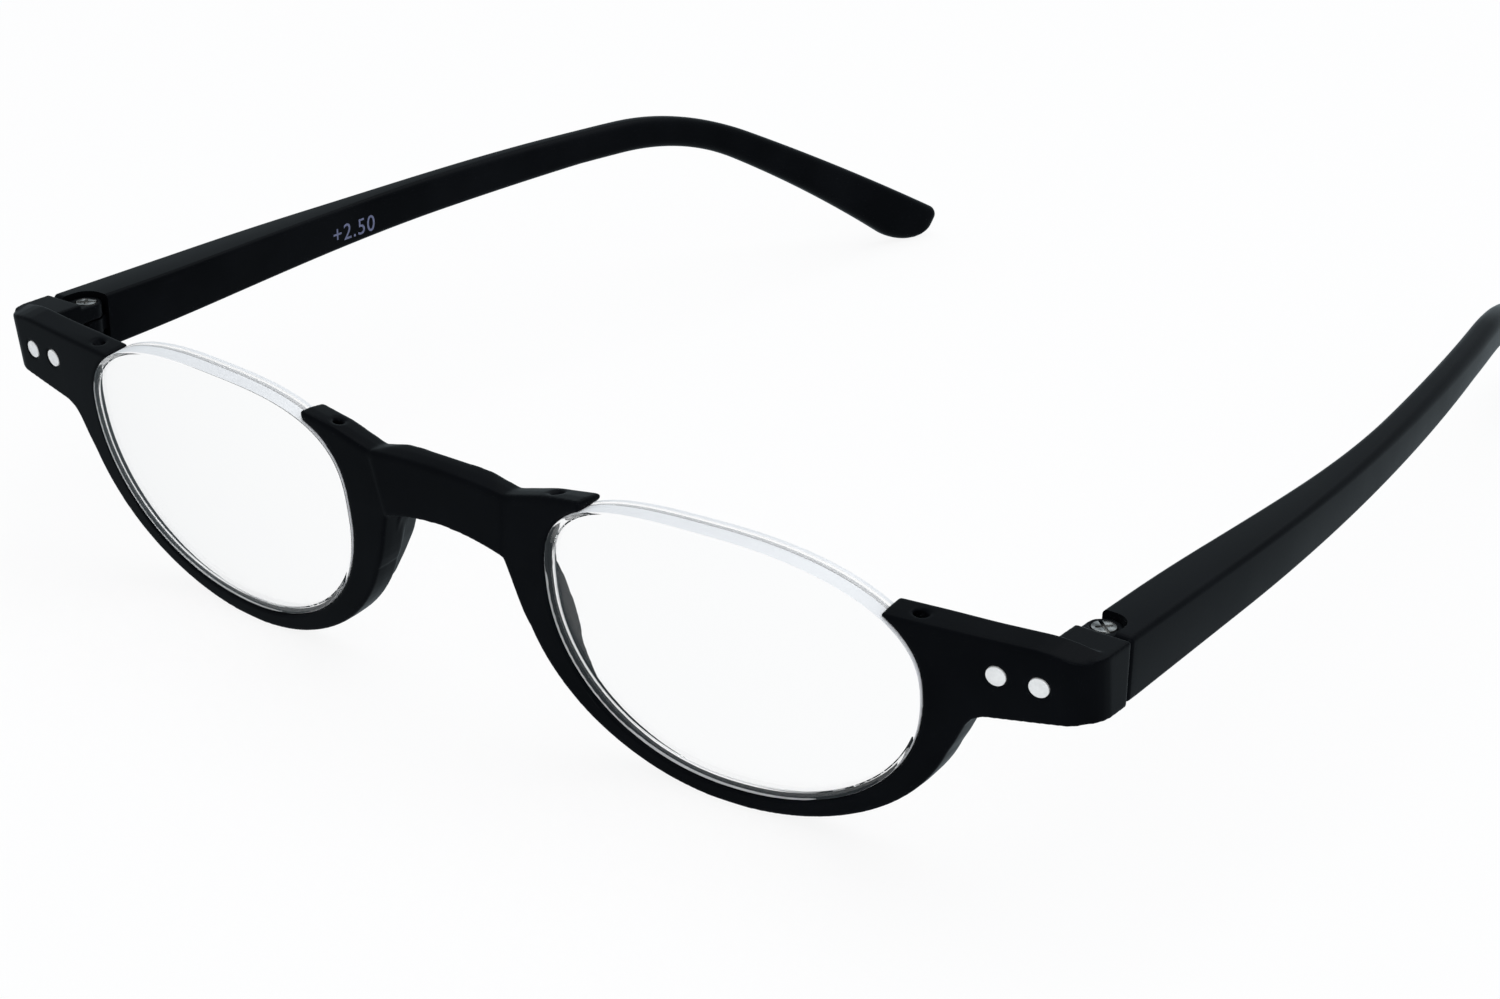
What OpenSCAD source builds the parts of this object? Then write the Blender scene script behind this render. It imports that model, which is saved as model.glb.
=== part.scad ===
// Half-rim reading glasses, standing open on their lower rims and temple tips.
// X runs across the face, Y runs back along the temples and Z is up.
// The origin is the middle of the bridge's underside.

/* [Lenses] */
// Distance between the two lens centres
lens_spacing = 63; // [58:0.5:68]
// Width of a lens, nose side to temple side
lens_width = 37.7; // [35:0.1:40]
// Share of the lens width that lies on the nose side of its highest point
nasal_share = 0.47; // [0.42:0.01:0.52]
// Height of a lens above its widest level
lens_rise = 10.3; // [9.5:0.1:10.8]
// Depth of a lens below its widest level
lens_drop = 15.9; // [15:0.1:16.5]
// Thickness of a lens at its edge
lens_edge = 2.3; // [1.8:0.1:2.5]
// Radius of the front face of a lens
lens_front_r = 200; // [180:5:260]
// Radius of the back face of a lens
lens_back_r = 420; // [360:10:600]
// Width of the groove round a lens
groove_w = 0.7; // [0.66:0.02:0.8]
// Depth of the groove round a lens
groove_d = 0.6; // [0.56:0.01:0.7]

/* [Front] */
// Radius that the whole front is bent to
front_bend_r = 414; // [380:2:460]
// Thickness of the rims and end pieces, front to back
front_t = 2.9; // [2.8:0.1:3.2]
// Thickness of the bridge, front to back
bridge_t = 2.4; // [2:0.1:2.7]
// Height of the bridge at its middle
bridge_h = 5.9; // [5:0.1:6.5]
// Width of the rim at the bottom of a lens
rim_w = 1.65; // [1.5:0.05:2]
// Width of an end piece, from the lens to the outer side
end_w = 14.92; // [14.3:0.02:15.5]
// How far a nose pad reaches behind the rim
pad_reach = 2.6; // [2.4:0.1:2.8]
// Diameter of the holes that hold the lens cord
cord_hole_d = 1.2; // [1:0.05:1.3]

/* [Lens cord] */
// Diameter of the clear cord that holds a lens from above
cord_d = 0.6; // [0.5:0.02:0.62]

/* [Rivets] */
// Diameter of a rivet
rivet_d = 1.8; // [1.6:0.05:2]
// Length of a rivet
rivet_l = 2.2; // [1.8:0.1:2.4]
// Spacing of the two rivets of one end piece
rivet_spacing = 3.7; // [3.3:0.1:4]

/* [Hinge] */
// Distance of a hinge axis from the outer side of the front
hinge_in = 3.6; // [3.5:0.05:3.8]
// Distance of a hinge axis behind the lens centres
hinge_y = 11.3; // [11:0.1:11.8]
// Downward slope of the temples, measured square to the front
pitch = 7.8; // [5:0.1:9]
// Outer radius of the hinge lugs
lug_r = 1.6; // [1.55:0.05:1.7]
// Height over both hinge lugs
lug_h = 5.2; // [5:0.1:5.3]
// Thickness of the temple's hinge tongue
tongue_t = 1.5; // [1.3:0.1:1.7]
// Diameter of the screw's shank
screw_d = 1.16; // [1.1:0.02:1.18]
// Diameter of the screw's head
screw_head_d = 2.1; // [1.9:0.1:2.2]
// Height of the screw's head
screw_head_h = 0.6; // [0.5:0.05:0.7]
// Outer diameter of the threaded insert
insert_d = 2.1; // [2:0.05:2.2]
// Length of the threaded insert
insert_l = 1.4; // [1.2:0.1:1.5]

/* [Temples] */
// Length of a temple from its hinge to its tip, along its top edge
temple_len = 141; // [136:0.5:146]
// Where the ear bend starts, measured from the hinge
bend_start = 83; // [76:1:88]
// Length of the ear bend
bend_len = 21.5; // [18:0.5:25]
// Angle of the ear bend
bend_angle = 25.5; // [20:0.5:30]
// Further slow bend between the ear bend and the tip
tail_angle = 4.5; // [2:0.5:7]
// Height of a temple at the hinge
temple_h = 5.9; // [5.6:0.1:6.1]
// Height of a temple at its waist in front of the ear
waist_h = 3.5; // [3:0.1:4]
// Height of a temple near its tip
tip_h = 6.1; // [5.5:0.1:6.4]
// Thickness of a temple at the hinge
temple_root_t = 4.7; // [4.5:0.1:4.8]
// Thickness of a temple behind the hinge
temple_t = 2.7; // [2.4:0.1:3]
// Radius that a temple is bowed inwards to
bow_r = 368; // [350:2:400]

/* [Hidden] */

plastic_colour = [0.05, 0.05, 0.06];
lens_colour = [0.85, 0.9, 0.93, 0.35];
cord_colour = [0.92, 0.93, 0.94];
rivet_colour = [0.82, 0.82, 0.8];
screw_colour = [0.7, 0.7, 0.69];
brass_colour = [0.72, 0.6, 0.35];

// Lens outline: four quarters of super-ellipses that meet at its highest and lowest points
lens_x = lens_spacing / 2;
nasal_a = lens_width * nasal_share;
temporal_a = lens_width - nasal_a;
apex_x = lens_x - 1.9;
level_z = -1.15;
nasal_edge = apex_x - nasal_a;
temporal_edge = apex_x + temporal_a;
nasal_power = 3;
temporal_power = 2.3;
lower_power = 2.1;
lens_steps = 96;
lens_gap = 0.05;
sphere_sides = 600;

// Outer rim outline: half an ellipse round the lower half of the lens
rim_nasal_a = nasal_a + 3.5;
rim_temporal_a = temporal_a + 3.1;
rim_step = 3;
rim_drop = lens_drop + rim_w;
rib_w = 0.5;
rib_d = 0.4;
rib_top_z = 3;
rib_root = 0.2;

// Front: a slab bent round a far axis, with its front face through the lens centres
bend_y = sqrt(front_bend_r * front_bend_r - lens_x * lens_x);
bridge_y = bend_y - front_bend_r;
end_round = 3.4;
slab_h = 2 * (lens_rise + rim_drop);
front_half = temporal_edge + end_w;
bridge_half = nasal_edge - 3.88;
bridge_lap = 1;
bridge_under_z = 1.35;
bridge_top_z = bridge_under_z + bridge_h;
bridge_edge_drop = 0.45;
bridge_arch = 1.1;
bridge_hollow_r = 121;
bridge_end_z = bridge_top_z - bridge_edge_drop;
horn_tip_x = nasal_edge + 4.72;
horn_tip_z = level_z + lens_rise - 0.6;
horn_tip_h = 0.9;
// Top line from the bridge over an inner horn, and its fall towards the back per millimetre
horn_top = [[bridge_half, bridge_end_z], [bridge_half + 4.3, horn_tip_z - 0.6], [horn_tip_x, horn_tip_z]];
ramp_start = [bridge_half - 4, bridge_end_z + 1.09];
top_fall = 0.25;
waste_past = 0.1;
nasal_flank = [for (p = [[-4.66, 0.75], [-4.42, 0], [-4.12, -1], [-3.83, -2], [-3.52, -3], [-3.16, -4],
                         [-2.7, -5], [2.12, 0]]) p + [nasal_edge, level_z]];
end_top_z = 5.6;
end_tip_x = temporal_edge - 3.48;
end_tip_h = 0.6;
end_bottom_z = -0.9;
// Falling top of an end piece near its outer side, and its lower side up to the rim
end_shoulder = [for (p = [[-5, 0], [-3.6, -0.12], [-2.4, -0.35], [-1.2, -0.7], [0, -1.2]])
    p + [front_half, end_top_z]];
end_flank = [for (p = [[5.3, -1], [4.3, -1.5], [3.65, -2.3], [3.2, -3.2], [2.6, -4.4], [1.9, -5.6],
                       [-2.58, -5.6], [-2.58, 1.15]]) p + [temporal_edge, level_z]];
// Outlines of the front are drawn through this range in Y
front_from = -4;
front_to = 12;

// Nose pad: its outline from the front, measured from pad_x, and its outline from the side,
// as shares of its reach behind the rim
pad_x = nasal_edge - 3.58;
pad_turn = 12;
pad_sink = 0.6;
pad_front = [[-1, 1], [-0.9, -1.1], [0.3, -4.3], [2.5, -9], [7.7, -14],
             [8.6, -13.2], [4.1, -8.4], [1.9, -4.2], [1, -1.5], [0.8, 1]];
pad_side = [[-0.4, 1], [0.2, 0.75], [0.65, -0.1], [0.92, -1.5], [1, -3.2], [0.97, -5], [0.77, -7],
            [0.43, -9], [0.13, -10.6], [-0.05, -11.6], [-0.4, -12.8]];

// Rivets
rivet_x = front_half - 4.6;
rivet_z = 2.05;
rivet_gap = 0.02;
rivet_rise = 0.15;

// Cord holes: each runs from the top face of a horn down to the groove beside the lens
nasal_hole = [nasal_edge + 1.22, horn_tip_z - 1.05];
nasal_hole_turn = 35;
temporal_hole = [temporal_edge - 0.48, end_top_z];
temporal_hole_turn = -41;
hole_y = front_t / 2;
hole_below = 2.6;
hole_above = 1.4;

// Cord: the stretch of the lens outline that it follows, and how far its ends reach into the holes
cord_sides = 8;
cord_from = 145;
cord_to = 26;
cord_steps = 30;
cord_gap = 0.02;
cord_in = lens_gap + groove_d - cord_d / 2 - cord_gap;
cord_end = -1;
cord_turn = -1.3;

// Hinge
hinge_x = front_half - hinge_in;
hinge_z = 1.05;
lug_top = 2.5;
lug_bottom = lug_top - lug_h;
lug_gap = 0.1;
hole_gap = 0.05;
thread_gap = 0.02;
pocket_gap = 0.25;
swing_r = lug_r + pocket_gap;
lug_root = 6.2;
lug_sink = 0.6;
screw_end_gap = 0.1;
slot_w = 0.35;
slot_d = 0.35;
slot_turn = 138;
cross_l = 1.5;
tongue_inner = 0.9;
tongue_sink = 0.6;

// Temple
temple_top = 3;
temple_butt = -1.65;
temple_outer = hinge_in - 0.15;
taper_from = 6;
taper_to = 54;
bow_start = 18;
waist_at = 76;
swell_from = 88;
swell_to = 134;
// Rise of the top edge in front of the ear bend
top_lift = 0.5;
lift_span = [35, 72];
fall_span = [80, 104];
// Tip: small rounding above, and a long slanting one below
tip_r = 1.2;
tip_run = 6.4;
tip_drop = 3.9;
temple_steps = 80;
da = (temple_len - temple_butt) / temple_steps;
plan_steps = 40;
plan_end = temple_len + tip_h;
temple_span = temple_len / 2;

// One point of the lens outline, with every half axis changed by grow
function lens_power(t) = sin(t) <= 0 ? lower_power : (cos(t) < 0 ? nasal_power : temporal_power);
function lens_side(t) = cos(t) < 0 ? nasal_a : temporal_a;
function lens_reach(t) = sin(t) < 0 ? lens_drop : lens_rise;
function signed_power(v, e) = sign(v) * pow(abs(v), e);
function lens_point(t, grow) = [
    apex_x + (lens_side(t) + grow) * signed_power(cos(t), 2 / lens_power(t)),
    level_z + (lens_reach(t) + grow) * signed_power(sin(t), 2 / lens_power(t))];
function lens_points(grow) = [for (i = [0 : lens_steps - 1]) lens_point(i * 360 / lens_steps, grow)];

function rim_side(t) = cos(t) < 0 ? rim_nasal_a : rim_temporal_a;
function rim_points() = [for (t = [180 : rim_step : 360])
    [apex_x + rim_side(t) * cos(t), level_z + rim_drop * sin(t)]];

function front_y(x) = bend_y - sqrt(front_bend_r * front_bend_r - x * x);

// Moves the front's own frame to the attitude at rest
module at_rest() {
    rotate([rest_turn, 0, 0])
        translate([0, -origin_y, -bridge_under_z])
            children();
}

module both_sides() {
    children();
    mirror([1, 0, 0]) children();
}

// Turns an outline in X and Z into a solid that runs from y0 to y1
module upright(y0, y1) {
    translate([0, y1, 0])
        rotate([90, 0, 0])
            linear_extrude(y1 - y0) children();
}

// Bent layer of the front, between two depths behind its front face
module bent_slab(d0, d1) {
    translate([0, bend_y, -slab_h / 2])
        difference() {
            cylinder(r = front_bend_r - d0, h = slab_h, $fn = 360);
            translate([0, 0, -1]) cylinder(r = front_bend_r - d1, h = slab_h + 2, $fn = 360);
        }
}

// Waste outside the rounded outer corner of an end piece
module end_corner() {
    x = front_half - end_round;
    translate([x, front_y(x) + end_round, -slab_h / 2])
        linear_extrude(slab_h)
            polygon(concat([[end_round + 2, 0.3], [end_round + 2, -6], [-0.2, -6]],
                [for (a = [-82 : 11 : -5]) end_round * [cos(a), sin(a)]]));
}

// The rim, the part between bridge and nasal rim with its horn, and the end piece with its horn
module wing_outline() {
    polygon(rim_points());
    polygon(concat([[bridge_half - bridge_lap, bridge_under_z - bridge_arch]], nasal_flank,
        [[horn_tip_x, horn_tip_z - horn_tip_h], horn_top[2], horn_top[1], horn_top[0],
         [bridge_half - bridge_lap, bridge_end_z]]));
    polygon(concat([[end_tip_x, end_top_z - end_tip_h], [end_tip_x, end_top_z]], end_shoulder,
        [[front_half, end_bottom_z + 0.5], [front_half - 0.8, end_bottom_z]], end_flank));
}

module wing() {
    difference() {
        intersection() {
            upright(front_from, front_to) wing_outline();
            bent_slab(0, front_t);
        }
        upright(front_from - 1, front_to + 1) polygon(lens_points(0));
    }
    rib();
}

// Rail on the inside of the rim that stands in the groove of the lens
module rib() {
    intersection() {
        bent_slab((front_t - rib_w) / 2, (front_t + rib_w) / 2);
        upright(front_from, front_to)
            difference() {
                intersection() {
                    polygon(lens_points(rib_root));
                    translate([0, rib_top_z - slab_h]) square([front_half, slab_h]);
                }
                polygon(lens_points(-rib_d));
            }
    }
}

module bridge() {
    arc_steps = 16;
    upright(bridge_y, bridge_y + front_t)
        polygon(concat(
            [for (i = [0 : arc_steps]) let (u = 2 * i / arc_steps - 1)
                [u * bridge_half, bridge_top_z - bridge_edge_drop * u * u]],
            [for (i = [0 : arc_steps]) let (u = 1 - 2 * i / arc_steps)
                [u * (bridge_half - bridge_lap), bridge_under_z - bridge_arch * u * u]]));
}

// Waste behind the bridge, which thins it from the horns towards its middle
module bridge_hollow() {
    w = bridge_half - bridge_lap;
    pad_top = pad_side[0][1];
    intersection() {
        translate([0, bridge_y + bridge_t + bridge_hollow_r, -slab_h / 2])
            cylinder(r = bridge_hollow_r, h = slab_h, $fn = 360);
        upright(front_from, front_to)
            polygon([[-w, -slab_h], [w, -slab_h], [w, pad_top], [horn_tip_x, pad_top], [horn_tip_x, slab_h],
                     [-horn_tip_x, slab_h], [-horn_tip_x, pad_top], [-w, pad_top]]);
    }
}

// Waste above one straight stretch of the top line, from p to q
module top_waste(p, q) {
    near = front_y(bridge_half);
    low = [for (c = [[p, front_from], [q, front_from], [q, front_to], [p, front_to]])
        [c[0][0], c[1], c[0][1] - top_fall * (c[1] - near)]];
    high = [for (c = low) [c[0], c[1], slab_h / 2]];
    polyhedron(concat(low, high),
        [[0, 1, 2, 3], [7, 6, 5, 4], [4, 5, 1, 0], [5, 6, 2, 1], [6, 7, 3, 2], [7, 4, 0, 3]]);
}

// Nose pad: a fin behind the nasal rim that leans outwards and fades out towards the bottom
module nose_pad() {
    back = front_y(pad_x) + front_t;
    intersection() {
        translate([pad_x, back - pad_sink, 0])
            rotate([0, 0, -pad_turn])
                upright(-pad_sink, 2 * pad_reach) polygon(pad_front);
        translate([0, back, 0])
            rotate([90, 0, 90])
                linear_extrude(2 * pad_x + slab_h / 3) polygon([for (p = pad_side) [p[0] * pad_reach, p[1]]]);
    }
}

module cord_hole(p, turn) {
    translate([p[0], front_y(p[0]) + hole_y, p[1]])
        rotate([0, -turn, 0])
            translate([0, 0, -hole_below]) cylinder(d = cord_hole_d, h = hole_below + hole_above, $fn = 32);
}

// Places children in the hinge's frame: Y along the temple, Z along the hinge axis
module at_hinge() {
    translate([hinge_x, hinge_y, hinge_z])
        rotate([-pitch, 0, 0])
            children();
}

module lug() {
    difference() {
        union() {
            translate([0, 0, lug_bottom]) cylinder(r = lug_r, h = lug_h, $fn = 48);
            translate([-lug_r, -lug_root, lug_bottom]) cube([2 * lug_r, lug_root, lug_h]);
            translate([-lug_r, -lug_root - lug_sink, temple_top - temple_h])
                cube([hinge_in + lug_r, lug_root + lug_sink - swing_r, temple_h]);
        }
        translate([-2 * lug_r, -swing_r, -tongue_t / 2 - lug_gap])
            cube([4 * lug_r, 2 * swing_r, tongue_t + 2 * lug_gap]);
        translate([0, 0, -lug_h]) cylinder(d = screw_d + 2 * hole_gap, h = 2 * lug_h, $fn = 32);
        translate([0, 0, lug_top - screw_head_h]) cylinder(d = screw_head_d + 2 * hole_gap, h = 2, $fn = 32);
        translate([0, 0, lug_bottom - 1]) cylinder(d = insert_d, h = 1 + insert_l, $fn = 32);
    }
}

module rivet_place(k) {
    x = rivet_x - k * rivet_spacing;
    translate([x, front_y(x), rivet_z + rivet_rise * k])
        rotate([0, 0, asin(x / front_bend_r)])
            rotate([-90, 0, 0])
                children();
}

module rivet(k) {
    color(rivet_colour) rivet_place(k) cylinder(d = rivet_d, h = rivet_l, $fn = 48);
}

module front_frame() {
    color(plastic_colour) difference() {
        union() {
            bridge();
            both_sides() {
                wing();
                nose_pad();
                at_hinge() lug();
            }
        }
        bridge_hollow();
        both_sides() {
            cord_hole(nasal_hole, nasal_hole_turn);
            cord_hole(temporal_hole, temporal_hole_turn);
            end_corner();
            top_waste(ramp_start, horn_top[0]);
            top_waste(horn_top[0], horn_top[1]);
            top_waste(horn_top[1], horn_top[2] + waste_past * (horn_top[2] - horn_top[1]));
            for (k = [0, 1]) rivet_place(k)
                translate([0, 0, -1]) cylinder(d = rivet_d + 2 * rivet_gap, h = rivet_l + 1, $fn = 48);
        }
    }
}

// Depth of a lens face of radius r between its middle and the lens edge
function edge_sag(r) = lens_width * lens_width / (8 * r);

module lens() {
    turn = asin(lens_x / front_bend_r);
    inset = (front_t - lens_edge) / 2;
    color(lens_colour) difference() {
        intersection() {
            upright(front_from, front_to) polygon(lens_points(-lens_gap));
            translate([lens_x, 0, 0]) rotate([0, 0, turn])
                translate([0, lens_front_r + inset - edge_sag(lens_front_r), 0])
                    sphere(r = lens_front_r, $fn = sphere_sides);
        }
        translate([lens_x, 0, 0]) rotate([0, 0, turn])
            translate([0, lens_back_r + inset + lens_edge - edge_sag(lens_back_r), 0])
                sphere(r = lens_back_r, $fn = sphere_sides);
        intersection() {
            upright(front_from, front_to)
                difference() {
                    polygon(lens_points(1));
                    polygon(lens_points(-lens_gap - groove_d));
                }
            bent_slab((front_t - groove_w) / 2, (front_t + groove_w) / 2);
        }
    }
}

// Lens cord: a thin tube along the groove over the top of the lens, with both ends up in the holes
function hole_dir(turn) = [-sin(turn), cos(turn)];
function cord_xz() = concat(
    [nasal_hole + hole_dir(nasal_hole_turn) * cord_end, nasal_hole + hole_dir(nasal_hole_turn) * cord_turn],
    [for (i = [0 : cord_steps]) lens_point(cord_from + (cord_to - cord_from) * i / cord_steps, -cord_in)],
    [temporal_hole + hole_dir(temporal_hole_turn) * cord_turn,
     temporal_hole + hole_dir(temporal_hole_turn) * cord_end]);
function cord_ring(p, n) = [for (k = [0 : cord_sides - 1]) let (a = k * 360 / cord_sides)
    [p[0] + n[0] * cos(a) * cord_d / 2,
     front_y(p[0]) + front_t / 2 + sin(a) * cord_d / 2,
     p[1] + n[1] * cos(a) * cord_d / 2]];
function unit(v) = v / norm(v);
function side_of(v) = [-v[1], v[0]];

module lens_cord() {
    path = cord_xz();
    last = len(path) - 1;
    rings = [for (i = [0 : last]) cord_ring(path[i],
        side_of(unit(unit(path[min(i + 1, last)] - path[i] + (i == last ? path[i] - path[i - 1] : [0, 0]))
            + unit(path[i] - path[max(i - 1, 0)] + (i == 0 ? path[1] - path[0] : [0, 0])))))];
    points = [for (r = rings) each r];
    sides = [for (i = [0 : last - 1]) for (k = [0 : cord_sides - 1])
        let (a = i * cord_sides, b = (k + 1) % cord_sides)
        [a + k, a + b, a + cord_sides + b, a + cord_sides + k]];
    caps = [[for (k = [cord_sides - 1 : -1 : 0]) k], [for (k = [0 : cord_sides - 1]) last * cord_sides + k]];
    color(cord_colour) polyhedron(points, concat(sides, caps));
}

module threaded_insert() {
    color(brass_colour) at_hinge()
        translate([0, 0, lug_bottom])
            difference() {
                cylinder(d = insert_d - thread_gap, h = insert_l, $fn = 32);
                translate([0, 0, -1]) cylinder(d = screw_d + 2 * thread_gap, h = insert_l + 2, $fn = 32);
            }
}

module hinge_screw() {
    color(screw_colour) at_hinge()
        difference() {
            union() {
                translate([0, 0, lug_bottom + screw_end_gap])
                    cylinder(d = screw_d, h = lug_h - screw_end_gap - screw_head_h, $fn = 32);
                translate([0, 0, lug_top - screw_head_h])
                    cylinder(d = screw_head_d, h = screw_head_h, $fn = 32);
            }
            translate([0, 0, lug_top - slot_d])
                rotate([0, 0, slot_turn]) {
                    translate([-screw_head_d, -slot_w / 2, 0]) cube([2 * screw_head_d, slot_w, 1]);
                    translate([-slot_w / 2, -cross_l / 2, 0]) cube([slot_w, cross_l, 1]);
                }
        }
}

// Temple: the outline seen from the side, cut by the outline seen from above
function bend_at(a) = a < bend_start ? 0
    : (a < bend_start + bend_len ? bend_angle * (a - bend_start) / bend_len
    : bend_angle + tail_angle * (a - bend_start - bend_len) / (temple_len - bend_start - bend_len));
function temple_a(i) = temple_butt + (temple_len - temple_butt) * i / temple_steps;
temple_line = [for (i = 0, p = [temple_butt, temple_top]; i <= temple_steps;
    p = p + da * [cos(bend_at(temple_a(i) + da / 2)), -sin(bend_at(temple_a(i) + da / 2))], i = i + 1) p];
function blend(a, a0, a1) = let (u = max(0, min(1, (a - a0) / (a1 - a0)))) u * u * (3 - 2 * u);
function swell(a) = pow(max(0, min(1, (a - swell_from) / (swell_to - swell_from))), 2);
function height_at(a) = temple_h + (waist_h - temple_h) * max(0, min(1, a / waist_at))
    + (tip_h - waist_h) * swell(a);
function lift_at(a) = top_lift * blend(a, lift_span[0], lift_span[1]) * (1 - blend(a, fall_span[0], fall_span[1]));
// Rounding of the tip: how far an edge has moved in, over the last stretch called run
function round_in(a, run, depth) = let (u = max(0, (a - temple_len + run) / run))
    depth * (1 - sqrt(max(0, 1 - u * u)));
function top_edge() = [for (i = [0 : temple_steps]) let (a = temple_a(i), b = bend_at(a))
    temple_line[i] + (round_in(a, tip_r, tip_r) - lift_at(a)) * [-sin(b), -cos(b)]];
function bottom_edge() = [for (i = [temple_steps : -1 : 0]) let (a = temple_a(i), b = bend_at(a))
    temple_line[i] + (height_at(a) - round_in(a, tip_run, tip_drop)) * [-sin(b), -cos(b)]];

function bow_x(s) = temple_outer - (s > bow_start ? (s - bow_start) * (s - bow_start) / (2 * bow_r) : 0);
function thick_at(s) = temple_root_t + (temple_t - temple_root_t) * blend(s, taper_from, taper_to);
function plan_s(i) = temple_butt + (plan_end - temple_butt) * i / plan_steps;
function plan_outline() = concat(
    [for (i = [0 : plan_steps]) [bow_x(plan_s(i)), plan_s(i)]],
    [for (i = [plan_steps : -1 : 0]) [bow_x(plan_s(i)) - thick_at(plan_s(i)), plan_s(i)]]);

// Attitude at rest: the lower rims and the temple tips touch one plane
origin_y = bridge_y + bridge_t / 2;
rim_low = [front_y(apex_x), level_z - rim_drop];
function in_front(p) = [hinge_y + p[0] * cos(pitch) + p[1] * sin(pitch),
    hinge_z - p[0] * sin(pitch) + p[1] * cos(pitch)];
rest_turn = max([for (p = bottom_edge()) if (p[0] > 0.8 * bend_start)
    let (q = in_front(p) - rim_low) -atan2(q[1], q[0])]);

module temple_body() {
    intersection() {
        rotate([90, 0, 90])
            translate([0, 0, -temple_span])
                linear_extrude(2 * temple_span) polygon(concat(top_edge(), bottom_edge()));
        translate([0, 0, -temple_span]) linear_extrude(2 * temple_span) polygon(plan_outline());
    }
}

module temple_pocket() {
    wide = 2 * temple_root_t;
    translate([0, 0, -lug_h]) {
        cylinder(r = swing_r, h = 2 * lug_h, $fn = 48);
        translate([-wide, -wide, 0]) cube([wide + swing_r, wide, 2 * lug_h]);
        translate([-wide, -wide, 0]) cube([wide, wide + swing_r, 2 * lug_h]);
    }
}

module temple() {
    color(plastic_colour) at_hinge()
        difference() {
            union() {
                difference() {
                    temple_body();
                    temple_pocket();
                }
                translate([0, 0, -tongue_t / 2]) cylinder(r = lug_r, h = tongue_t, $fn = 48);
                translate([-tongue_inner, 0, -tongue_t / 2])
                    cube([tongue_inner + lug_r, swing_r + tongue_sink, tongue_t]);
            }
            translate([0, 0, -lug_h]) cylinder(d = screw_d + 2 * hole_gap, h = 2 * lug_h, $fn = 32);
        }
}

module right() {
    mirror([1, 0, 0]) children();
}

at_rest() front_frame();
at_rest() lens();  // left_lens
at_rest() right() lens();  // right_lens
at_rest() lens_cord();  // left_lens_cord
at_rest() right() lens_cord();  // right_lens_cord
at_rest() rivet(0);  // left_outer_rivet
at_rest() rivet(1);  // left_inner_rivet
at_rest() right() rivet(0);  // right_outer_rivet
at_rest() right() rivet(1);  // right_inner_rivet
at_rest() threaded_insert();  // left_threaded_insert
at_rest() right() threaded_insert();  // right_threaded_insert
at_rest() hinge_screw();  // left_hinge_screw
at_rest() right() hinge_screw();  // right_hinge_screw
at_rest() temple();  // left_temple
at_rest() right() temple();  // right_temple
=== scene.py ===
import bpy
import math
from mathutils import Matrix, Vector


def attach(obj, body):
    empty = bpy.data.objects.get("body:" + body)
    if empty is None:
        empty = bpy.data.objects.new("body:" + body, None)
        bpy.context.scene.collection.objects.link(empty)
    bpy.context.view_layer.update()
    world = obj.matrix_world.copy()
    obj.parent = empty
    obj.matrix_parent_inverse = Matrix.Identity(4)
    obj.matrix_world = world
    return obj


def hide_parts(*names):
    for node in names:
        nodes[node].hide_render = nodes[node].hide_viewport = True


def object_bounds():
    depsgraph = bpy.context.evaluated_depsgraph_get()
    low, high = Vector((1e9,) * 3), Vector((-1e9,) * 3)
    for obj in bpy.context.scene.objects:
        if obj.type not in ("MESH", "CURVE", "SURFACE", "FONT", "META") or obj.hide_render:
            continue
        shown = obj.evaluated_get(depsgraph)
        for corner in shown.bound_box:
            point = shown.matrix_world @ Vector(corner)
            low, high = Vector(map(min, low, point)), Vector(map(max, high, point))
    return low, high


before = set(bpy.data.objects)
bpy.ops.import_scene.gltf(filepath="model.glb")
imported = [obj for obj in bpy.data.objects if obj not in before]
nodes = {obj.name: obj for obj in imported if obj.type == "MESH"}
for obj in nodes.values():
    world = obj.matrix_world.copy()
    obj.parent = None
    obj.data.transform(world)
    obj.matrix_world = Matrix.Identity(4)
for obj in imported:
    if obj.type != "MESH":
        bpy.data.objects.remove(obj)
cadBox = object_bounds()
mm = 0.001
fullTurn = 2 * math.pi

# how the front's own frame (x across, y back, z up, in mm) stands at rest
attitude = {
    "bridgeUnder": 1.35,
    "turn": math.radians(8.18277),
}
lean = Matrix.Rotation(attitude["turn"], 3, "X")
unlean = Matrix.Rotation(-attitude["turn"], 3, "X")


def toRest(x, y, z):
    return lean @ Vector((x, y, z - attitude["bridgeUnder"])) * mm


# photo's camera, fitted in the front's own frame
photoCamera = {
    "target": (34.76, 0.0, 13.67),
    "distance": 230.73,
    "azimuth": math.radians(38.9017),
    "elevation": math.radians(30.2066),
    "roll": math.radians(-4.5785),
    "sensor": 36.0,
    "focal": 68.27,
    "near": 0.01,
    "far": 20,
}


def addCamera(c):
    ca, sa = math.cos(c["azimuth"]), math.sin(c["azimuth"])
    ce, se = math.cos(c["elevation"]), math.sin(c["elevation"])
    back = Vector((sa * ce, -ca * ce, se))
    right = Vector((ca, sa, 0))
    up = right.cross(-back)
    cr, sr = math.cos(c["roll"]), math.sin(c["roll"])
    turned = [cr * right + sr * up, cr * up - sr * right, back]
    place = Vector(c["target"]) + back * c["distance"]
    axes = [lean @ v for v in turned]
    bpy.ops.object.camera_add()
    camera = bpy.context.active_object
    camera.name = "photoCamera"
    camera.matrix_world = Matrix.Translation(toRest(*place)) @ Matrix(axes).transposed().to_4x4()
    camera.data.sensor_fit = "HORIZONTAL"
    camera.data.sensor_width = c["sensor"]
    camera.data.lens = c["focal"]
    camera.data.clip_start = c["near"]
    camera.data.clip_end = c["far"]
    bpy.context.scene.camera = camera


addCamera(photoCamera)
print("camera is up")


def clearPick():
    bpy.ops.object.select_all(action="DESELECT")


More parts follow.
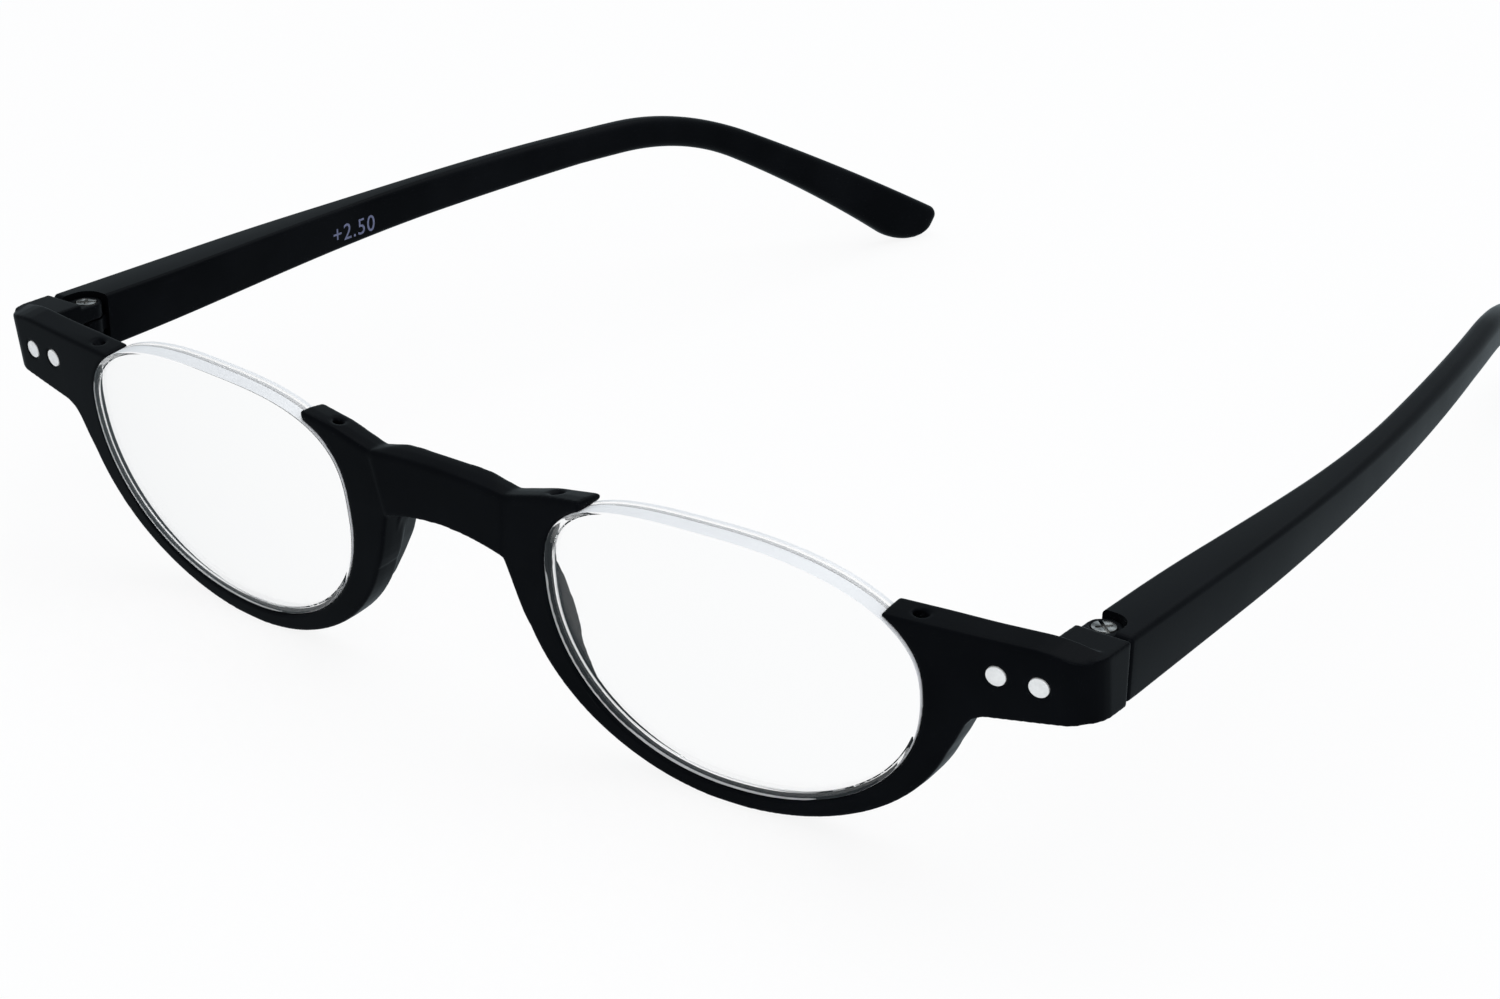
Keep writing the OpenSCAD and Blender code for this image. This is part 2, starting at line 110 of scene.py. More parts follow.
def pick(piece):
    clearPick()
    piece.select_set(True)
    bpy.context.view_layer.objects.active = piece


def applyAll(piece):
    pick(piece)
    for modifier in list(piece.modifiers):
        bpy.ops.object.modifier_apply(modifier=modifier.name)


def onWholeMesh(piece, operator, **values):
    pick(piece)
    bpy.ops.object.mode_set(mode="EDIT")
    bpy.ops.mesh.select_all(action="SELECT")
    operator(**values)
    bpy.ops.object.mode_set(mode="OBJECT")


def pointOut(piece):
    onWholeMesh(piece, bpy.ops.mesh.normals_make_consistent, inside=False)


def smoothBelow(piece, degrees):
    pick(piece)
    bpy.ops.object.shade_smooth_by_angle(angle=math.radians(degrees))


# a merged copy of a CAD node's mesh, to be softened or bevelled
def copyOfNode(node, name):
    piece = bpy.data.objects.new(name, nodes[node].data.copy())
    piece.data.name = name
    piece.data.materials.clear()
    bpy.context.scene.collection.objects.link(piece)
    onWholeMesh(piece, bpy.ops.mesh.remove_doubles, threshold=0.001 * mm)
    return piece


def shareOf(a, span):
    return max(0, min(1, (a - span[0]) / (span[1] - span[0])))


def ease(a, span):
    u = shareOf(a, span)
    return u * u * (3 - 2 * u)


# a vertex group whose weights come from a share of each place, in mm
def paintedGroup(piece, name, share):
    group = piece.vertex_groups.new(name=name)
    for v in piece.data.vertices:
        amount = share(v.co / mm)
        if amount > 0.01:
            group.add([v.index], amount, "REPLACE")
    return group


# moulded plastic: one skin over the whole piece, its edges worn soft by a few smoothing rounds and
# softer still where softness says so, then pushed out where fullness says so, because the smoothing
# takes a little from the outline
def mouldedSkin(piece, look, softness, fullness):
    pick(piece)
    skin = piece.modifiers.new("skin", "REMESH")
    skin.mode = "VOXEL"
    skin.voxel_size = look["voxel"]
    applyAll(piece)
    worn = paintedGroup(piece, "worn", softness)
    full = paintedGroup(piece, "full", fullness)
    for name, rounds, group in (("soft", "rounds", ""), ("softer", "wornRounds", worn.name)):
        soft = piece.modifiers.new(name, "SMOOTH")
        soft.factor = look["smoothing"]
        soft.iterations = look[rounds]
        soft.vertex_group = group
    fuller = piece.modifiers.new("fuller", "DISPLACE")
    fuller.strength = look["push"]
    fuller.mid_level = 0
    fuller.vertex_group = full.name
    fewer = piece.modifiers.new("fewer", "DECIMATE")
    fewer.ratio = look["keep"]
    applyAll(piece)
    piece.vertex_groups.clear()
    bpy.ops.object.shade_smooth()


# materials
def newMaterial(name):
    material = bpy.data.materials.new(name)
    material.use_nodes = True
    tree = material.node_tree
    return material, tree, tree.nodes["Principled BSDF"]


def addNoise(tree, scale, detail, roughness=0.5):
    where = tree.nodes.new("ShaderNodeTexCoord")
    noise = tree.nodes.new("ShaderNodeTexNoise")
    noise.inputs["Scale"].default_value = scale
    noise.inputs["Detail"].default_value = detail
    noise.inputs["Roughness"].default_value = roughness
    tree.links.new(where.outputs["Object"], noise.inputs["Vector"])
    return noise


def addRange(tree, source, low, high, fromLow=0.3, fromHigh=0.7):
    span = tree.nodes.new("ShaderNodeMapRange")
    span.inputs["From Min"].default_value = fromLow
    span.inputs["From Max"].default_value = fromHigh
    span.inputs["To Min"].default_value = low
    span.inputs["To Max"].default_value = high
    tree.links.new(source, span.inputs["Value"])
    return span.outputs["Result"]


def addRamp(tree, source, first, second, low=0.35, high=0.65):
    ramp = tree.nodes.new("ShaderNodeValToRGB")
    ramp.color_ramp.elements[0].position = low
    ramp.color_ramp.elements[0].color = (*first, 1)
    ramp.color_ramp.elements[1].position = high
    ramp.color_ramp.elements[1].color = (*second, 1)
    tree.links.new(source, ramp.inputs["Fac"])
    return ramp.outputs["Color"]


# colour, roughness and bump of a surface, each from the height of a noise
def paintColour(tree, shader, source, first, second):
    tree.links.new(addRamp(tree, source, first, second), shader.inputs["Base Color"])


def paintRoughness(tree, shader, source, span):
    tree.links.new(addRange(tree, source, *span), shader.inputs["Roughness"])


def addBump(tree, shader, source, distance, strength):
    bump = tree.nodes.new("ShaderNodeBump")
    bump.inputs["Distance"].default_value = distance
    bump.inputs["Strength"].default_value = strength
    tree.links.new(source, bump.inputs["Height"])
    tree.links.new(bump.outputs["Normal"], shader.inputs["Normal"])


plasticLook = {
    "dark": (0.0018, 0.0020, 0.0026),
    "pale": (0.0032, 0.0036, 0.0046),
    "rough": (0.30, 0.40),
    "ior": 1.11,
    "tint": (0.80, 0.90, 1.0),
    "grain": 5200,
    "grainDepth": 0.000012,
    "grainStrength": 0.35,
    "patch": 90,
}


def blackPlastic(name, look):
    material, tree, shader = newMaterial(name)
    patches = addNoise(tree, look["patch"], 3)
    grain = addNoise(tree, look["grain"], 2)
    paintColour(tree, shader, patches.outputs["Fac"], look["dark"], look["pale"])
    paintRoughness(tree, shader, patches.outputs["Fac"], look["rough"])
    shader.inputs["IOR"].default_value = look["ior"]
    shader.inputs["Specular Tint"].default_value = (*look["tint"], 1)
    addBump(tree, shader, grain.outputs["Fac"], look["grainDepth"], look["grainStrength"])
    return material


metalLook = {
    "rivet": {"dark": (0.86, 0.86, 0.84), "pale": (0.96, 0.96, 0.94), "rough": (0.42, 0.6),
              "grain": 1800, "metal": 0.15},
    # screw heads: the near-black and pale patches of this colour are painted glints and painted dark
    # reflections on the heads
    "nickelPaintedGlints": {"dark": (0.012, 0.012, 0.012), "pale": (0.62, 0.615, 0.6), "rough": (0.16, 0.3),
               "grain": 760, "metal": 0.9},
    "brass": {"dark": (0.55, 0.42, 0.2), "pale": (0.72, 0.58, 0.33), "rough": (0.22, 0.36),
              "grain": 1500, "metal": 1.0},
    "pitDepth": 0.00002,
    "pitStrength": 0.3,
}


def smallMetal(name, look):
    material, tree, shader = newMaterial(name)
    spots = addNoise(tree, look["grain"], 4, 0.6)
    # the colour patches are random tone on the rivets and the brass, and painted glints on the screw
    # heads
    paintColour(tree, shader, spots.outputs["Fac"], look["dark"], look["pale"])
    paintRoughness(tree, shader, spots.outputs["Fac"], look["rough"])
    shader.inputs["Metallic"].default_value = look["metal"]
    addBump(tree, shader, spots.outputs["Fac"], metalLook["pitDepth"], metalLook["pitStrength"])
    return material


clearLook = {
    "lens": {"tint": (0.995, 0.998, 1.0), "rough": (0.0, 0.012), "clear": 1.0,
             "ior": 1.49, "scale": 60},
    "edge": {"tint": (0.93, 0.945, 0.955), "rough": (0.28, 0.42), "clear": 0.2,
             "ior": 1.49, "scale": 900},
    "cord": {"tint": (0.97, 0.975, 0.98), "rough": (0.12, 0.25), "clear": 0.55,
             "ior": 1.5, "scale": 700},
}


def clearPlastic(name, look):
    material, tree, shader = newMaterial(name)
    haze = addNoise(tree, look["scale"], 2)
    shader.inputs["Base Color"].default_value = (*look["tint"], 1)
    shader.inputs["Transmission Weight"].default_value = look["clear"]
    shader.inputs["IOR"].default_value = look["ior"]
    paintRoughness(tree, shader, haze.outputs["Fac"], look["rough"])
    return material


printLook = {"colour": (0.13, 0.145, 0.25), "faded": 0.75, "rough": 0.5, "scale": 3000}


def printedInk(name, look):
    material, tree, shader = newMaterial(name)
    spots = addNoise(tree, look["scale"], 3)
    faded = tuple(look["faded"] * c for c in look["colour"])
    paintColour(tree, shader, spots.outputs["Fac"], faded, look["colour"])
    shader.inputs["Roughness"].default_value = look["rough"]
    return material


frontPlastic = blackPlastic("frontPlastic", plasticLook)
templePlastic = blackPlastic("templePlastic", plasticLook)
rivetMetal = smallMetal("rivetMetal", metalLook["rivet"])
# screw heads: metal whose colour patches are painted glints
screwMetal = smallMetal("screwMetal", metalLook["nickelPaintedGlints"])
insertBrass = smallMetal("insertBrass", metalLook["brass"])
lensClear = clearPlastic("lensClear", clearLook["lens"])
lensGround = clearPlastic("lensGround", clearLook["edge"])
cordNylon = clearPlastic("cordNylon", clearLook["cord"])
numberInk = printedInk("numberInk", printLook)
print("materials are mixed")


# a finished piece gets its materials, rides its body and stands in for its CAD node, if it has one
def finishPiece(piece, body, slot, node, *materials):
    for material in materials:
        piece.data.materials.append(material)
    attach(piece, body)
    if node:
        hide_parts(node)


# front: its skin is laid while the front is unbent and square to the voxels, then bent back
bend = {"radius": 414.0, "lensX": 31.5}
frontSkin = {
    "voxel": 0.00011,
    "rounds": 22,
    "wornRounds": 44,
    "smoothing": 0.5,
    "keep": 0.3,
    "crestAbove": (5.4, 6.4),
    "crestWithin": (13.0, 16.5),
    "padBehind": (2.2, 3.4),
    "padBelow": (1.0, 1.8),
    "padWithin": (17.0, 20.0),
    "push": 0.00017,
    "rimPush": 0.5,
    "facePush": 0.35,
    "pushBehind": (0.2, 1.4),
    "pushWithin": (50.0, 56.0),
    "pushAbove": (-17.0, -13.0),
    "middleWithin": (18.0, 21.0),
    "middleAbove": (-1.5, 1.0),
}


# how far the bend sets the front face back, from the lens centres
def bentBack(x):
    far = math.sqrt(bend["radius"] ** 2 - bend["lensX"] ** 2)
    return far - math.sqrt(bend["radius"] ** 2 - x * x)


def unbendFront(piece):
    for v in piece.data.vertices:
        q = unlean @ v.co / mm
        v.co = Vector((q.x, q.y - bentBack(q.x), q.z + attitude["bridgeUnder"])) * mm


def bendFront(piece):
    for v in piece.data.vertices:
        q = v.co / mm
        v.co = toRest(q.x, q.y + bentBack(q.x), q.z)


# the top of the bridge with the inner horns, and the nose pads
def frontSoftness(q):
    k = frontSkin
    crest = ease(q.z, k["crestAbove"]) * (1 - ease(abs(q.x), k["crestWithin"]))
    lowDown = 1 - ease(q.z, k["padBelow"])
    pads = ease(q.y, k["padBehind"]) * lowDown * (1 - ease(abs(q.x), k["padWithin"]))
    return max(crest, pads)


# most on the bridge, inner horns and pads, half on the rims, none at the hinges and lowest edges,
# and less on the front faces
def frontFullness(q):
    k = frontSkin
    facing = k["facePush"] + (1 - k["facePush"]) * ease(q.y, k["pushBehind"])
    middle = ease(q.z, k["middleAbove"]) * (1 - ease(abs(q.x), k["middleWithin"]))
    rims = k["rimPush"] * (1 - ease(abs(q.x), k["pushWithin"])) * ease(q.z, k["pushAbove"])
    return facing * max(middle, rims, frontSoftness(q))


front = copyOfNode("front_frame", "mouldedFront")
unbendFront(front)
mouldedSkin(front, frontSkin, frontSoftness, frontFullness)
bendFront(front)
finishPiece(front, "front", "frame_plastic", "front_frame", frontPlastic)
print("front is moulded:", len(front.data.polygons))

# temples, in mm in the hinge's frame: x outwards, s along the temple, h up
hinge = {
    "x": 60.901,
    "y": 11.3,
    "z": 1.05,
    "pitch": math.radians(7.8),
}
templeShape = {
    "length": 140.82,
    "butt": -1.65,
    "buttRound": 0.6,
    "top": 3.0,
    "outer": 3.45,
    "bendStart": 83.0,
    "bendLength": 21.5,
    "bendAngle": 25.5,
    "tailAngle": 4.5,
    "rootHeight": 5.9,
    "waistHeight": 3.5,
    "tipHeight": 6.1,
    "waistAt": 76.0,
    "swell": (88.0, 134.0),
    "lift": 0.5,
    "liftSpan": (35.0, 72.0),
    "fallSpan": (80.0, 104.0),
    "rootThick": 4.7,
    "thick": 2.7,
    "taper": (6.0, 54.0),
    "bowStart": 18.0,
    "bowRadius": 368.0,
    "tipRound": 1.2,
    "tipRun": 6.4,
    "tipDrop": 3.9,
    "sideRun": 1.8,
    "sideDrop": 0.95,
    "rootEdge": 0.5,
    "tailEdge": 1.15,
    "edgeGrows": (20.0, 90.0),
    "widestDraw": 0.42,
    "widestEdge": 0.48,
    "stations": 240,
    "endStations": 16,
    "walk": 0.2,
    "cornerSteps": 6,
}


# from the hinge's frame to the front's own frame
def fromHinge(x, s, h):
    cp, sp = math.cos(hinge["pitch"]), math.sin(hinge["pitch"])
    return hinge["x"] + x, hinge["y"] + s * cp + h * sp, hinge["z"] - s * sp + h * cp


def bendAt(t, a):
    past = a - t["bendStart"] - t["bendLength"]
    if a < t["bendStart"]:
        return 0
    if past < 0:
        return math.radians(t["bendAngle"] * (a - t["bendStart"]) / t["bendLength"])
    tail = t["length"] - t["bendStart"] - t["bendLength"]
    return math.radians(t["bendAngle"] + t["tailAngle"] * past / tail)


def templeX(t, s):
    bow = max(0, s - t["bowStart"])
    return t["outer"] - bow * bow / (2 * t["bowRadius"])


def templeThick(t, s):
    return t["rootThick"] + (t["thick"] - t["rootThick"]) * ease(s, t["taper"])


# depth of a quarter round at the share u of its run
def quarterRound(u, depth):
    return depth * (1 - math.sqrt(1 - u * u))


# how far an edge has moved in, over the last stretch of the temple
def roundIn(t, a, run, depth):
    return quarterRound(max(0, min(1, (a - t["length"] + run) / run)), depth)


# places along the temple, closer together at its rounded ends
def stationPlaces(t):
    ends = t["endStations"]
    quarter = 0.25 * fullTurn
    start = [t["butt"] + t["buttRound"] * (1 - math.cos(quarter * i / ends)) for i in range(ends)]
    first, last = t["butt"] + t["buttRound"], t["length"] - t["tipRound"]
    count = t["stations"] - 2 * ends
    middle = [first + (last - first) * i / count for i in range(count)]
    tip = [last + t["tipRound"] * math.sin(quarter * i / ends) for i in range(ends + 1)]
    return start + middle + tip


# each station: place, tilt, drops of its upper and lower corners, and how far its sides are drawn in
def templeStations(t):
    rows = []
    s, h, before = t["butt"], t["top"], t["butt"]
    for a in stationPlaces(t):
        steps = max(1, round((a - before) / t["walk"]))
        for k in range(steps):
            tilt = bendAt(t, before + (a - before) * (k + 0.5) / steps)
            s += (a - before) / steps * math.cos(tilt)
            h -= (a - before) / steps * math.sin(tilt)
        before = a
        waist = (t["waistHeight"] - t["rootHeight"]) * shareOf(a, (0, t["waistAt"]))
        swell = (t["tipHeight"] - t["waistHeight"]) * shareOf(a, t["swell"]) ** 2
        height = t["rootHeight"] + waist + swell
        lift = t["lift"] * ease(a, t["liftSpan"]) * (1 - ease(a, t["fallSpan"]))
        drawn = quarterRound(max(0, 1 - (a - t["butt"]) / t["buttRound"]), t["buttRound"])
        upper = roundIn(t, a, t["tipRound"], t["tipRound"]) - lift + drawn
        lower = height - roundIn(t, a, t["tipRun"], t["tipDrop"]) - drawn
        sides = roundIn(t, a, t["sideRun"], t["sideDrop"]) + drawn
        rows.append((a, s, h, bendAt(t, a), upper, lower, sides))
    return rows


# points round a section with soft corners, measured inwards and down from its outer top corner
def roundedSection(wide, high, edge, steps):
    corners = ((wide - edge, edge, -90), (wide - edge, high - edge, 0),
               (edge, high - edge, 90), (edge, edge, 180))
    points = []
    for cx, cy, start in corners:
        for k in range(steps + 1):
            angle = math.radians(start + 90 * k / steps)
            points.append((cx + edge * math.cos(angle), cy + edge * math.sin(angle)))
    return points


# an extruded rod whose rings are laid on the stations
def shapeTemple(name, sign, t):
    rows = templeStations(t)
    corners = 4 * (t["cornerSteps"] + 1)
    clearPick()
    bpy.ops.mesh.primitive_circle_add(vertices=corners, radius=1, fill_type="NGON")
    temple = bpy.context.active_object
    temple.name = name
    temple.data.name = name
    bpy.ops.object.mode_set(mode="EDIT")
    bpy.ops.mesh.select_all(action="SELECT")
    for row in rows[1:]:
        bpy.ops.mesh.extrude_region_move(TRANSFORM_OT_translate={"value": (0, 0, 1)})
    bpy.ops.object.mode_set(mode="OBJECT")
    for v in temple.data.vertices:
        a, s, h, tilt, upper, lower, sides = rows[round(v.co.z)]
        turn = math.atan2(v.co.x, v.co.y) % fullTurn
        place = round(turn / fullTurn * corners) % corners
        thick = templeThick(t, s)
        drawn = min(t["widestDraw"] * thick, sides)
        wide = thick - 2 * drawn
        high = lower - upper
        edge = t["rootEdge"] + (t["tailEdge"] - t["rootEdge"]) * ease(a, t["edgeGrows"])
        edge = min(edge, t["widestEdge"] * wide, t["widestEdge"] * high)
        inwards, down = roundedSection(wide, high, edge, t["cornerSteps"])[place]
        along = s - (down + upper) * math.sin(tilt)
        level = h - (down + upper) * math.cos(tilt)
        x, y, z = fromHinge(templeX(t, along) - inwards - drawn, along, level)
        v.co = toRest(sign * x, y, z)
    return temple


hingeCut = {
    "swing": 1.85,
    "lug": 1.6,
    "high": 8.0,
    "wide": 8.0,
    "tongue": 1.5,
    "tongueInner": 0.9,
    "tongueReach": 2.45,
    "bore": 1.26,
    "rodSides": 64,
    "boreSides": 32,
    "sharpFrom": 28,
}


def placeInHinge(piece, sign):
    for v in piece.data.vertices:
        x, y, z = fromHinge(*v.co)
        v.co = toRest(sign * x, y, z)


def addBlock(low, high):
    clearPick()
    middle = [(a + b) / 2 for a, b in zip(low, high)]
    bpy.ops.mesh.primitive_cube_add(size=1, location=middle, scale=[b - a for a, b in zip(low, high)])
    bpy.ops.object.transform_apply(location=True, rotation=True, scale=True)
    return bpy.context.active_object


def addRod(radius, low, high, sides):
    clearPick()
    bpy.ops.mesh.primitive_cylinder_add(vertices=sides, radius=radius, depth=high - low,
                                        location=(0, 0, (low + high) / 2))
    bpy.ops.object.transform_apply(location=True, rotation=True, scale=True)
    return bpy.context.active_object


def carve(piece, tool, operation="DIFFERENCE"):
    cut = piece.modifiers.new("cut", "BOOLEAN")
    cut.operation = operation
    cut.solver = "EXACT"
    cut.object = tool
    applyAll(piece)
    bpy.data.objects.remove(tool)


# room for the lugs is cut out of the temple, and the tongue that runs between them is joined to it
def cutHinge(temple, sign, c):
    pointOut(temple)
    room = addRod(c["swing"], -c["high"], c["high"], c["rodSides"])
    corner = (-c["wide"], -c["wide"], -c["high"])
    carve(room, addBlock(corner, (c["swing"], 0, c["high"])), "UNION")
    carve(room, addBlock(corner, (0, c["swing"], c["high"])), "UNION")
    placeInHinge(room, sign)
    pointOut(room)
    carve(temple, room)
    half = c["tongue"] / 2
    tongue = addRod(c["lug"], -half, half, c["rodSides"])
    root = addBlock((-c["tongueInner"], 0, -half), (c["lug"], c["tongueReach"], half))
    carve(tongue, root, "UNION")
    carve(tongue, addRod(c["bore"] / 2, -c["high"], c["high"], c["boreSides"]))
    placeInHinge(tongue, sign)
    pointOut(tongue)
    carve(temple, tongue, "UNION")
    smoothBelow(temple, c["sharpFrom"])


for side, sign in (("left", 1), ("right", -1)):
    temple = shapeTemple(side + "MouldedTemple", sign, templeShape)
    cutHinge(temple, sign, hingeCut)
    finishPiece(temple, side + "_arm", "temple_plastic", side + "_temple", templePlastic)
    print(side, "temple is moulded:", len(temple.data.polygons))

# lenses, in mm in the front's own frame
lensShape = {
    "apexX": 29.6,
    "levelZ": -1.15,
    "centreX": 31.5,
    "nasalShare": 0.47,
    "rise": 10.3,
    "drop": 15.9,
    "powers": (3.0, 2.3, 2.1),
    "gap": 0.05,
    "width": 37.7,
    "edge": 2.3,
    "frontR": 200.0,
    "backR": 420.0,
    "frontT": 2.9,
    "grooveW": 0.7,
    "grooveD": 0.6,
    "grooveFoot": 0.18,
    "grooveFlank": 0.04,
    "grooveSoft": 0.12,
    "edgeBevel": 0.12,
    "bevelMiddle": 0.3,
    "segments": 256,
    "faceRings": 14,
    "sharpFrom": 35,
    "edgeFacing": 0.5,
}


def signedPower(v, e):
    return math.copysign(abs(v) ** e, v)


# one point of the lens outline, a superellipse with its own power for each quarter
def lensOutline(s, t, grow):
    c, k = math.cos(t), math.sin(t)
    power = s["powers"][2] if k <= 0 else (s["powers"][0] if c < 0 else s["powers"][1])
    half = s["width"] * (s["nasalShare"] if c < 0 else 1 - s["nasalShare"])
    reach = s["drop"] if k < 0 else s["rise"]
    return (s["apexX"] + (half + grow) * signedPower(c, 2 / power),
            s["levelZ"] + (reach + grow) * signedPower(k, 2 / power))


# depth of a spherical lens face at one point of the outline's plane
def lensFaceY(s, x, z, radius, inset):
    turn = math.asin(s["centreX"] / bend["radius"])
    far = radius + inset - s["width"] ** 2 / (8 * radius)
    cx, cy = s["centreX"] - math.sin(turn) * far, math.cos(turn) * far
    return cy - math.sqrt(radius ** 2 - (x - cx) ** 2 - z * z)


# rings of the lens from the middle of its front face, over the grooved edge, to the back face
def lensSections(s):
    inset = (s["frontT"] - s["edge"]) / 2
    grooveIn, grooveOut = (s["frontT"] - s["grooveW"]) / 2, (s["frontT"] + s["grooveW"]) / 2
    foot, flank, floor = s["grooveFoot"], s["grooveFlank"], s["grooveD"]
    b = s["edgeBevel"]
    m = s["bevelMiddle"] * b

    def onFace(share, shrink, radius, depth):
        def place(t):
            ox, oz = lensOutline(s, t, -s["gap"] - shrink)
            x = s["apexX"] + share * (ox - s["apexX"])
            z = s["levelZ"] + share * (oz - s["levelZ"])
            return x, lensFaceY(s, x, z, radius, inset + depth), z
        return place

    def inGroove(shrink, depth):
        def place(t):
            x, z = lensOutline(s, t, -s["gap"] - shrink)
            return x, bentBack(x) + depth, z
        return place

    count = s["faceRings"]
    shares = [math.sin(0.25 * fullTurn * k / count) for k in range(1, count + 1)]
    faceFront = [onFace(share, b, s["frontR"], 0) for share in shares]
    faceBack = [onFace(share, b, s["backR"], s["edge"]) for share in reversed(shares)]
    edge = [onFace(1, m, s["frontR"], m), onFace(1, 0, s["frontR"], b),
            inGroove(0, grooveIn), inGroove(floor - s["grooveSoft"], grooveIn + flank),
            inGroove(floor, grooveIn + foot), inGroove(floor, grooveOut - foot),
            inGroove(floor - s["grooveSoft"], grooveOut - flank), inGroove(0, grooveOut),
            onFace(1, 0, s["backR"], s["edge"] - b), onFace(1, m, s["backR"], s["edge"] - m)]
    return faceFront + edge + faceBack


# a round ball whose rings are laid on the front face, the grooved edge and the back face
def shapeLens(name, sign, s):
    sections = lensSections(s)
    rows = len(sections) + 1
    inset = (s["frontT"] - s["edge"]) / 2
    clearPick()
    bpy.ops.mesh.primitive_uv_sphere_add(segments=s["segments"], ring_count=rows, radius=1)
    lens = bpy.context.active_object
    lens.name = name
    lens.data.name = name
    for v in lens.data.vertices:
        ring = round(math.acos(max(-1, min(1, v.co.z))) / math.pi * rows)
        t = math.atan2(v.co.y, v.co.x)
        x, z = s["apexX"], s["levelZ"]
        if ring == 0:
            y = lensFaceY(s, x, z, s["frontR"], inset)
        elif ring == rows:
            y = lensFaceY(s, x, z, s["backR"], inset + s["edge"])
        else:
            x, y, z = sections[ring - 1](t)
        v.co = toRest(sign * x, y, z)
    pointOut(lens)
    smoothBelow(lens, s["sharpFrom"])
    return lens


# faces of the grooved edge take the second material
def markEdge(lens, s):
    for face in lens.data.polygons:
        face.material_index = 1 if abs((unlean @ face.normal).y) < s["edgeFacing"] else 0


for side, sign in (("left", 1), ("right", -1)):
    lens = shapeLens(side + "ClearLens", sign, lensShape)
    finishPiece(lens, "front", "lens_plastic", side + "_lens", lensClear, lensGround)
    markEdge(lens, lensShape)
    print(side, "lens is ground")

# cords: the clear thread's facets are rounded off
cordRounding = {"joinUpTo": math.radians(60), "levels": 1}

for side in ("left", "right"):
    cord = copyOfNode(side + "_lens_cord", side + "NylonCord")
    onWholeMesh(cord, bpy.ops.mesh.tris_convert_to_quads, face_threshold=cordRounding["joinUpTo"],
                shape_threshold=cordRounding["joinUpTo"])
    rounder = cord.modifiers.new("rounder", "SUBSURF")
    rounder.levels = cordRounding["levels"]
    rounder.render_levels = cordRounding["levels"]
    applyAll(cord)
    bpy.ops.object.shade_smooth()
    finishPiece(cord, "front", "cord_nylon", side + "_lens_cord", cordNylon)
print("cords are strung")

# rivets, screws and inserts
metalEdge = {
    "rivet": 0.00009,
    "screw": 0.00005,
    "insert": 0.00004,
    "steps": 3,
    "flatBelow": 2,
    "sharpFrom": 30,
}


def addMetal(node, name, kind, slot, material):
    piece = copyOfNode(node, name)
    onWholeMesh(piece, bpy.ops.mesh.dissolve_limited, angle_limit=math.radians(metalEdge["flatBelow"]))
    edge = piece.modifiers.new("edge", "BEVEL")
    edge.width = metalEdge[kind]
    edge.segments = metalEdge["steps"]
    edge.limit_method = "ANGLE"
    edge.angle_limit = math.radians(metalEdge["sharpFrom"])
    applyAll(piece)
    smoothBelow(piece, metalEdge["sharpFrom"])
    finishPiece(piece, "front", slot, node, material)


for side in ("left", "right"):
    for row in ("outer", "inner"):
        addMetal(side + "_" + row + "_rivet", side + row.title() + "RivetHead", "rivet", "rivet_metal",
                 rivetMetal)
    addMetal(side + "_hinge_screw", side + "SlottedScrew", "screw", "screw_metal", screwMetal)
    addMetal(side + "_threaded_insert", side + "BrassInsert", "insert", "insert_brass", insertBrass)
print("metal is fitted")

# plain lens power printed on the inner side of the right temple, in mm in the hinge's frame
printedNumber = {
    "words": "+2.50",
    "size": 2.7,
    "spacing": 1.12,
    "along": 35.8,
    "level": -0.72,
    "proud": 0.012,
}


def printNumber(p):
    clearPick()
    bpy.ops.object.text_add()
    number = bpy.context.active_object
    number.name = "printedNumber"
    number.data.body = p["words"]
    number.data.size = p["size"]
    number.data.space_character = p["spacing"]
    number.data.extrude = p["proud"]
    bpy.ops.object.convert(target="MESH")
    number = bpy.context.active_object
    number.data.name = "printedNumber"
    for v in number.data.vertices:
        s = p["along"] + v.co.x
        inner = templeX(templeShape, s) - templeThick(templeShape, s)
        x, y, z = fromHinge(inner - p["proud"] - v.co.z, s, p["level"] + v.co.y)
        v.co = toRest(-x, y, z)
    return number


number = printNumber(printedNumber)
finishPiece(number, "right_arm", "temple_plastic", None, numberInk)
print("number is printed")

# floor, world and lamps
studio = {
    "floorHalf": 3.0,
    "floorColour": (0.86, 0.86, 0.865),
    "floorRough": 0.9,
    "floorShade": 0.12,
    "worldLight": (0.80, 0.83, 0.88),
    "worldStrength": 0.72,
    "mirrorColour": (0.80, 0.93, 1.0),
    "mirrorSide": (-0.12, 0.97, -0.2),
    "mirrorSteep": 12.0,
    "mirrorLow": 0.45,
    "mirrorHigh": 1.0,
    "aim": (0, 0.05, 0),
    "lamps": [
        {"name": "topLamp", "place": (0.1, 0.25, 0.9), "size": 1.1, "power": 5.0},
        {"name": "frontLamp", "place": (0.7, -0.9, 0.7), "size": 0.8, "power": 4.0},
    ],
}


# white for what the camera sees directly and through glass, a dimmer room for reflections, and the
# plain shader for the rest
def seenAsWhite(tree, plain, mirrored, white, output, whiteness=1.0):
    path = tree.nodes.new("ShaderNodeLightPath")
    inMirror = tree.nodes.new("ShaderNodeMixShader")
    tree.links.new(path.outputs["Is Glossy Ray"], inMirror.inputs["Fac"])
    tree.links.new(plain, inMirror.inputs[1])
    tree.links.new(mirrored, inMirror.inputs[2])
    direct = tree.nodes.new("ShaderNodeMath")
    direct.operation = "MAXIMUM"
    tree.links.new(path.outputs["Is Camera Ray"], direct.inputs[0])
    tree.links.new(path.outputs["Is Transmission Ray"], direct.inputs[1])
    share = tree.nodes.new("ShaderNodeMath")
    share.operation = "MULTIPLY"
    share.inputs[1].default_value = whiteness
    tree.links.new(direct.outputs[0], share.inputs[0])
    blend = tree.nodes.new("ShaderNodeMixShader")
    tree.links.new(share.outputs[0], blend.inputs["Fac"])
    tree.links.new(inMirror.outputs[0], blend.inputs[1])
    tree.links.new(white, blend.inputs[2])
    tree.links.new(blend.outputs[0], output)


